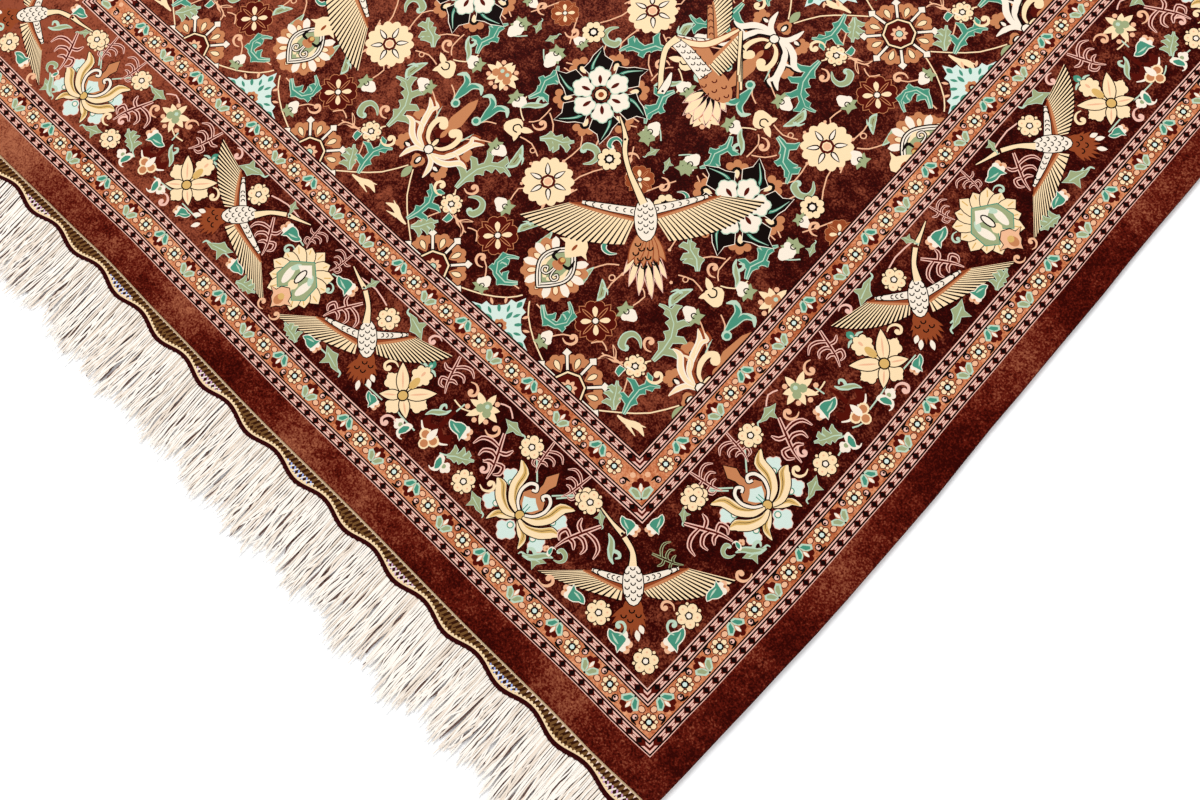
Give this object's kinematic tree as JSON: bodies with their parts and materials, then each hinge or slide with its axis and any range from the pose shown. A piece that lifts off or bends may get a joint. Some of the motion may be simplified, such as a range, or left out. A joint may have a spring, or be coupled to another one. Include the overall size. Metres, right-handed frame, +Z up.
{
  "type": "persian rug",
  "caption": "Flat rectangular hand-knotted silk rug with a cut-pile face, scalloped flat-woven end strips and a fringe of warp locks along both short ends.",
  "frame": {"origin": "centre of the rug's bounding box on the floor under it", "axes": "+X along the short side, +Y along the long side, +Z up out of the pile; the end at -Y is the one in the picture"},
  "size_m": [1.0066, 1.7873, 0.005],
  "materials": {
    "pile": "cut silk pile, soft sheen",
    "fringe": "twisted silk warp ends"
  },
  "bodies": {
    "root": {"rug_woven": "pile", "fringe_near": "fringe", "fringe_far": "fringe"}
  },
  "joints": []
}
